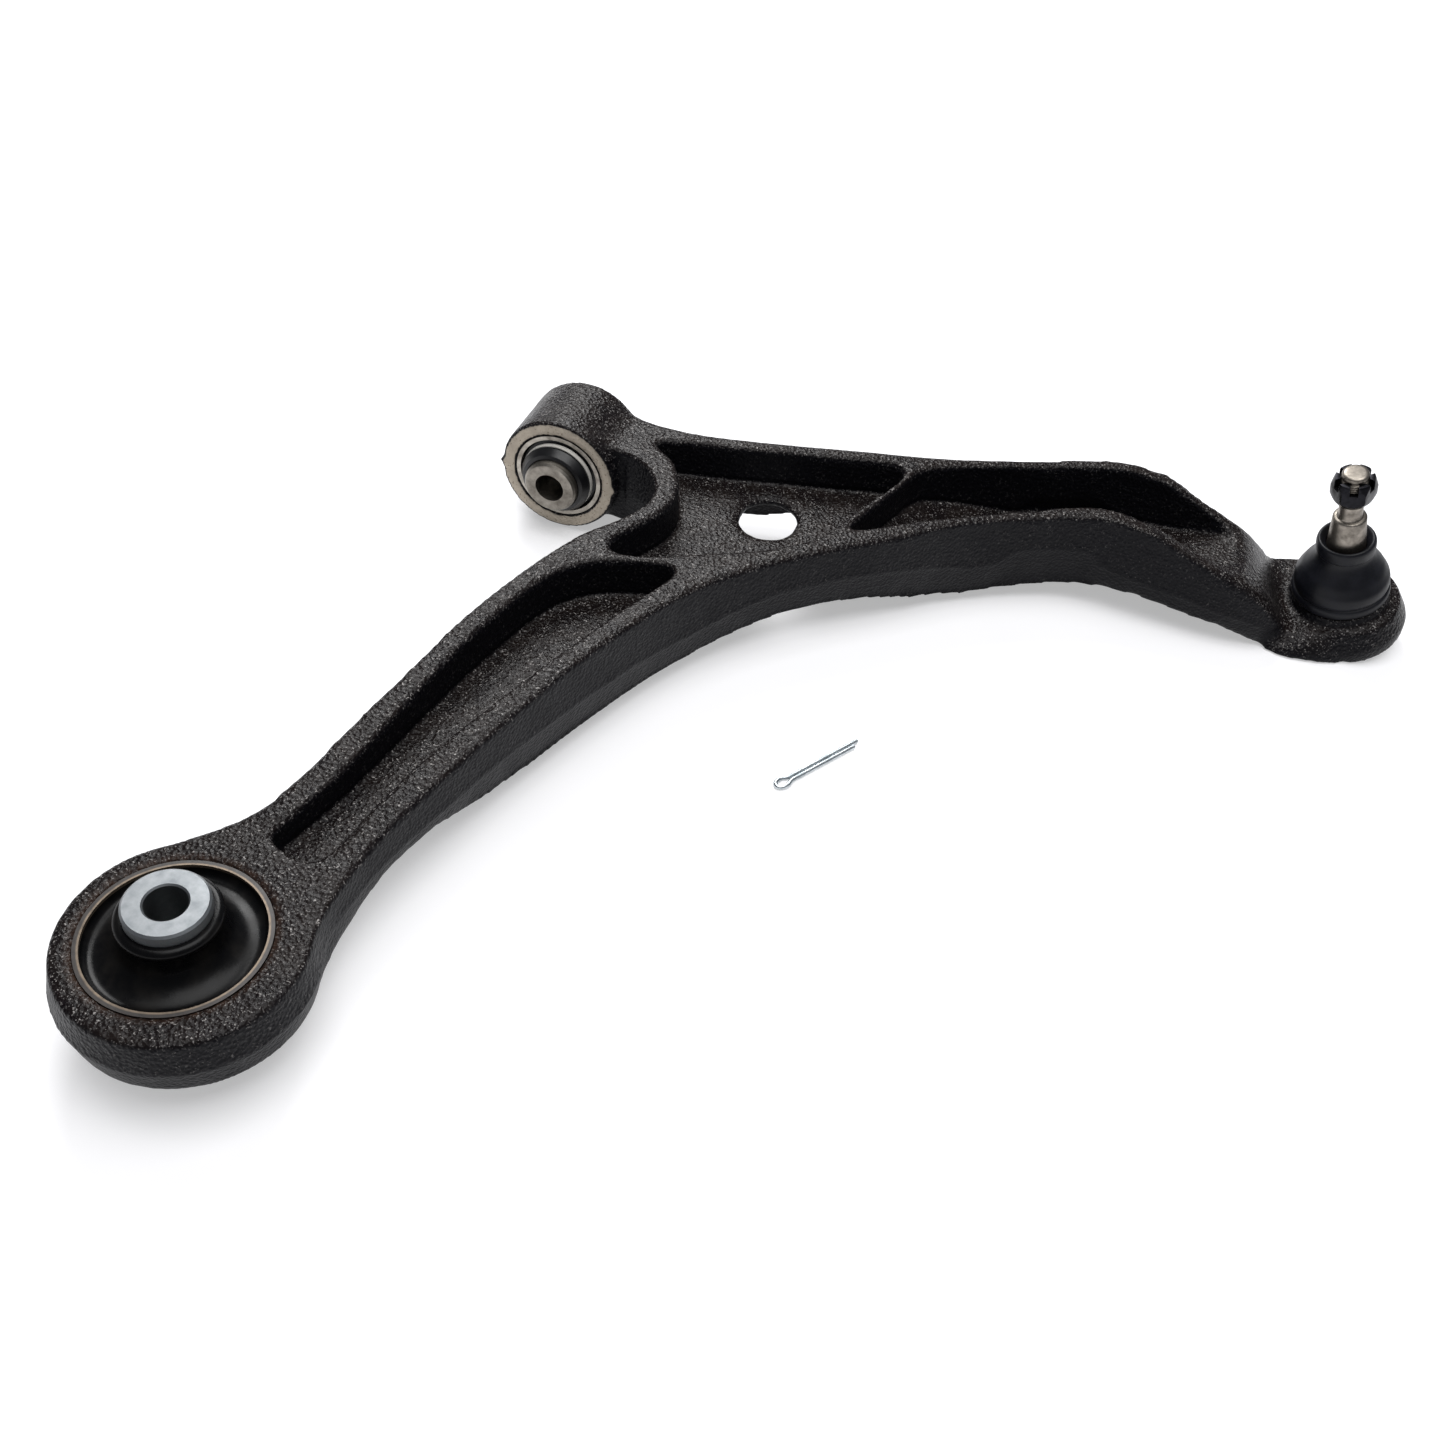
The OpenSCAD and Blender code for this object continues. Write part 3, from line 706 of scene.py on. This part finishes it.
class ARM_OT_stud(bpy.types.Operator):
    """Forged stud with its ball, taper and thread, and the slotted nut on it"""

    bl_idname = "control_arm.stud"
    bl_label = "Ball stud"

    def execute(self, context):
        settings = context.scene.arm_ball_joint
        tip = settings.stud_height / MM
        crest = settings.thread_radius / MM
        pitch = settings.pitch / MM
        # Millimetres: the ball, the flat below it, the neck above it, and the thread's root
        ball, flat, shank = 14.5, -12.2, 6.9
        root = crest - 0.62
        low_angle = math.asin(flat / ball)
        high_angle = math.acos(shank / ball)
        steps = 24
        round_side = [
            (ball * math.cos(low_angle + (high_angle - low_angle) * step / steps),
             ball * math.sin(low_angle + (high_angle - low_angle) * step / steps))
            for step in range(steps + 1)]
        taper = [(shank, 15), (7.6, 18), (9.1, 21.8), (9.4, 23), (7.55, 50.2), (7.2, 50.8),
                 (6.6, 51.1), (5.9, 51.3), (5.5, 51.8), (5.4, 52.6), (5.4, 59.8)]
        thread = []
        height = 60.2
        while height < tip - 3.6:
            thread += [(root, height), (crest, height + 0.4 * pitch),
                       (crest, height + 0.52 * pitch), (root, height + 0.92 * pitch)]
            height += pitch
        end = [(root + 0.2, tip - 2.4), (crest - 0.15, tip - 2.1), (crest - 0.15, tip - 1.1),
               (crest - 0.5, tip - 0.5), (crest - 1.3, tip - 0.08), (crest - 2, tip)]
        stud = turned("threaded_stud", in_mm(round_side + taper + thread + end), ball_place(),
                      96, closed=False)
        dress(stud, steel("ground_forged_steel", "#625d56", "#9a938a", 0.38, BALL, BALL_UP))
        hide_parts("ball_stud")
        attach(stud, "stud")

        nut = merged_copy("castle_nut", "slotted_nut")
        edge = nut.modifiers.new("Edge", "BEVEL")
        edge.width = 0.28 * MM
        edge.segments = 2
        edge.limit_method = "ANGLE"
        edge.angle_limit = math.radians(25)
        finish_modifiers(nut)
        bpy.ops.object.shade_smooth_by_angle(angle=math.radians(35))
        dress(nut, steel("black_oxide_steel", "#141416", "#26262a", 0.3, depth=0.03 * MM))
        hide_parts("castle_nut")
        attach(nut, "stud")
        return {"FINISHED"}


class ARM_OT_boot(bpy.types.Operator):
    """Dust boot with its rolled foot, and the thick collar that seals on the taper"""

    bl_idname = "control_arm.boot"
    bl_label = "Dust boot"

    def execute(self, context):
        settings = context.scene.arm_ball_joint
        foot_radius = settings.boot_radius / MM
        foot = 3.1
        grip = 18.05
        roll = curve_through([
            (grip + 0.6, foot), (foot_radius - 0.9, foot), (foot_radius - 0.2, foot + 0.6),
            (foot_radius, foot + 1.8), (foot_radius, foot + 3.2), (foot_radius - 0.4, foot + 4.4),
            (foot_radius - 1.25, foot + 5.1)], 3)
        dome = curve_through([
            (foot_radius - 1.25, foot + 5.5), (foot_radius - 0.75, foot + 6.6),
            (foot_radius - 0.75, foot + 8.6), (foot_radius - 1.2, foot + 11),
            (foot_radius - 2.4, foot + 13.4), (18.4, foot + 16.4), (16.5, foot + 19),
            (14.4, foot + 22), (13.0, foot + 24.6), (12.5, 29.8)], 4)
        inside = curve_through([
            (10.6, 29.8), (11.6, foot + 23), (14.4, foot + 18), (17.8, foot + 12.4),
            (19.3, foot + 7)], 3) + [(19.2, foot + 4.6), (grip, foot + 3.9), (grip, foot + 0.5)]
        boot = turned("rubber_boot", in_mm(roll + dome + inside), ball_place(), 128, 50)
        black = rubber("moulded_chloroprene", "#08090f", "#12131b", 0.45, 0.22)
        dress(boot, black)
        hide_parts("dust_boot")
        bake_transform(boot)

        low = 30
        outer = curve_through([
            (11.65, low + 0.05), (12.7, low), (13.2, low + 0.7), (13.35, low + 2),
            (13.35, low + 4.6), (13.05, low + 6.2), (12.3, low + 7.1), (11.4, low + 7),
            (10.4, low + 5.8), (9.5, low + 4.6), (9.05, low + 3.9)], 3)
        seal = [(8.95, low + 3.2), (9.5, low), (10.4, low), (10.4, low + 1.5),
                (11.6, low + 1.5)]
        collar = turned("seal_collar", in_mm(outer + seal), ball_place(), 128, 50)
        dress(collar, black)
        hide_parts("boot_collar")
        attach(collar, "stud_swing")
        return {"FINISHED"}


class ARM_OT_socket(bpy.types.Operator):
    """Finishes of the socket's pressed and moulded pieces"""

    bl_idname = "control_arm.socket"
    bl_label = "Socket"

    def execute(self, context):
        housing = steel("turned_socket_steel", "#4d4a46", "#7c7872", 0.45, BALL, BALL_UP)
        dress_nodes(["socket_housing", "socket_cover"], housing)
        dress_nodes(["preload_washer", "boot_upper_ring", "boot_lower_ring"],
                    steel("spring_steel_strip", "#55565a", "#85868b", 0.35))
        dress_nodes(["upper_seat", "lower_seat"], plastic("moulded_acetal_seat", "#d8d2bf", 0.4))
        return {"FINISHED"}


class ARM_OT_cotter_pin(bpy.types.Operator):
    """Loose split pin bent from bright wire, with a long eye and two legs"""

    bl_idname = "control_arm.cotter_pin"
    bl_label = "Cotter pin"

    def execute(self, context):
        settings = context.scene.arm_pin
        low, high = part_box("cotter_pin")
        heading = Vector((math.cos(settings.heading), math.sin(settings.heading), 0))
        eye = Vector((low.x, low.y, low.z)) + Vector((1, 1, 0)) * settings.eye_radius
        eye.z = low.z + settings.wire
        start = eye - heading * settings.eye_radius
        length = ((high - eye).to_2d().length + settings.eye_radius) / MM
        wire = settings.wire / MM
        half = wire * 0.92
        loop = [(length, half), (length * 0.6, half), (length * 0.3, half), (10, half),
                (8, half + 0.35), (6.2, half + 1.1), (4.2, half + 1.3), (2.3, half + 0.8),
                (1.3, half - 0.1), (wire, 0)]
        path = curve_through(loop, 4)[:-1] + [
            (x, -y) for x, y in reversed(curve_through(loop, 4))]
        path[-1] = (length - settings.short_leg / MM, -half)
        bpy.ops.object.select_all(action="DESELECT")
        bpy.ops.curve.primitive_nurbs_path_add()
        pin = context.active_object
        pin.name = "split_pin"
        line = pin.data
        line.splines.clear()
        spline = line.splines.new("POLY")
        spline.points.add(len(path) - 1)
        for point, (x, y) in zip(spline.points, path):
            point.co = (x * MM, y * MM, 0, 1)
        line.bevel_depth = settings.wire * 0.95
        line.bevel_resolution = 5
        line.use_fill_caps = True
        bpy.ops.object.convert(target="MESH")
        pin.data.name = "split_pin"
        pin.matrix_world = along((0, 0, 1), heading, start)
        bpy.ops.object.transform_apply(location=True, rotation=True, scale=True)
        bpy.ops.object.shade_smooth_by_angle(angle=math.radians(40))
        dress(pin, steel("bright_zinc_wire", "#8f979b", "#ccd2d5", 0.3))
        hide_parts("cotter_pin")
        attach(pin, "loose_pin")
        return {"FINISHED"}


# ---- stage ------------------------------------------------------------------

CAMERA_PLACE = (0.2271, -0.2280, 0.4185)
# Light that the board under the arm gives off itself
FLOOR_GLOW = 0.42
SKY_STRENGTH = 0.22


def white_board():
    """Matt white board lit from behind: an even pale ground that still takes soft shadows."""
    material, tree, shader, place = blank("lit_white_board", Roughness=0.8)
    grainy = add(tree, "TexNoise", {"Vector": place, "Scale": 1 / (40 * MM), "Detail": 3,
                                    "Roughness": 0.5})
    tree.links.new(add(tree, "Mix", {0: grainy, 6: linear("#c9c9cb"), 7: linear("#cecdcf")}, 2,
                       data_type="RGBA"), shader.inputs["Base Color"])
    shader.inputs["Emission Color"].default_value = linear("#ffffff")
    shader.inputs["Emission Strength"].default_value = FLOOR_GLOW
    return material


def softbox(name, location, target, size, power):
    """Square soft light of that size in metres."""
    light = bpy.data.lights.new(name, "AREA")
    light.shape = "SQUARE"
    light.size = size
    light.energy = power
    lamp = bpy.data.objects.new(name, light)
    bpy.context.scene.collection.objects.link(lamp)
    lamp.location = location
    lamp.rotation_euler = (Vector(target) - Vector(location)).to_track_quat("-Z", "Y").to_euler()
    return lamp


class ARM_OT_stage(bpy.types.Operator):
    """Pale floor, soft lights and the camera"""

    bl_idname = "control_arm.stage"
    bl_label = "Stage"

    def execute(self, context):
        settings = context.scene.arm_stage
        bpy.ops.object.select_all(action="DESELECT")
        bpy.ops.mesh.primitive_plane_add(size=6, location=(0.2, 0.2, FLOOR_Z))
        floor = context.active_object
        floor.name = "floor"
        dress(floor, white_board())

        world = context.scene.world or bpy.data.worlds.new("Studio")
        context.scene.world = world
        world.use_nodes = True
        sky = world.node_tree.nodes["Background"]
        sky.inputs["Color"].default_value = linear("#e9edf5")
        sky.inputs["Strength"].default_value = SKY_STRENGTH

        middle = (0.18, 0.22, 0)
        softbox("key", (-0.45, 1.25, 1.1), middle, 0.8, 26)
        softbox("overhead", (0.3, 0.1, 1.7), middle, 1.4, 30)

        camera = bpy.data.objects.new("camera", bpy.data.cameras.new("camera"))
        context.scene.collection.objects.link(camera)
        camera.data.lens = settings.lens
        camera.data.sensor_width = 36
        camera.data.clip_start = 0.01
        camera.location = CAMERA_PLACE
        turn = (Matrix.Rotation(settings.turn, 3, "Z") @ Matrix.Rotation(settings.tilt, 3, "X")
                @ Matrix.Rotation(settings.roll, 3, "Z"))
        camera.rotation_euler = turn.to_euler()
        context.scene.camera = camera
        context.scene.view_settings.view_transform = "Standard"
        return {"FINISHED"}


# ---- add-on -----------------------------------------------------------------

STEPS = (ARM_OT_casting, ARM_OT_rear_bushing, ARM_OT_front_bushing, ARM_OT_stud, ARM_OT_boot,
         ARM_OT_socket, ARM_OT_cotter_pin, ARM_OT_stage)
SETTINGS = {
    "arm_casting": CastingSettings,
    "arm_rubber": RubberSettings,
    "arm_ball_joint": BallJointSettings,
    "arm_pin": PinSettings,
    "arm_stage": StageSettings,
}


class ARM_PT_steps(bpy.types.Panel):
    """Lists the steps that build the control arm"""

    bl_idname = "ARM_PT_steps"
    bl_label = "Control Arm"
    bl_space_type = "VIEW_3D"
    bl_region_type = "UI"
    bl_category = "Control Arm"

    def draw(self, context):
        for step in STEPS:
            self.layout.operator(step.bl_idname)
        for name, group in SETTINGS.items():
            box = self.layout.box()
            for key in group.__annotations__:
                box.prop(getattr(context.scene, name), key)


def register():
    """Registers the settings, the steps and the panel."""
    for group in SETTINGS.values():
        bpy.utils.register_class(group)
    for name, group in SETTINGS.items():
        setattr(bpy.types.Scene, name, bpy.props.PointerProperty(type=group))
    for item in STEPS + (ARM_PT_steps,):
        bpy.utils.register_class(item)


def unregister():
    """Takes everything off again, in the opposite order."""
    for item in reversed(STEPS + (ARM_PT_steps,)):
        bpy.utils.unregister_class(item)
    for name, group in SETTINGS.items():
        delattr(bpy.types.Scene, name)
        bpy.utils.unregister_class(group)


def main():
    """Builds every piece in order."""
    register()
    bpy.ops.control_arm.casting()
    bpy.ops.control_arm.rear_bushing()
    bpy.ops.control_arm.front_bushing()
    bpy.ops.control_arm.stud()
    bpy.ops.control_arm.boot()
    bpy.ops.control_arm.socket()
    bpy.ops.control_arm.cotter_pin()
    bpy.ops.control_arm.stage()


if __name__ == "__main__":
    main()
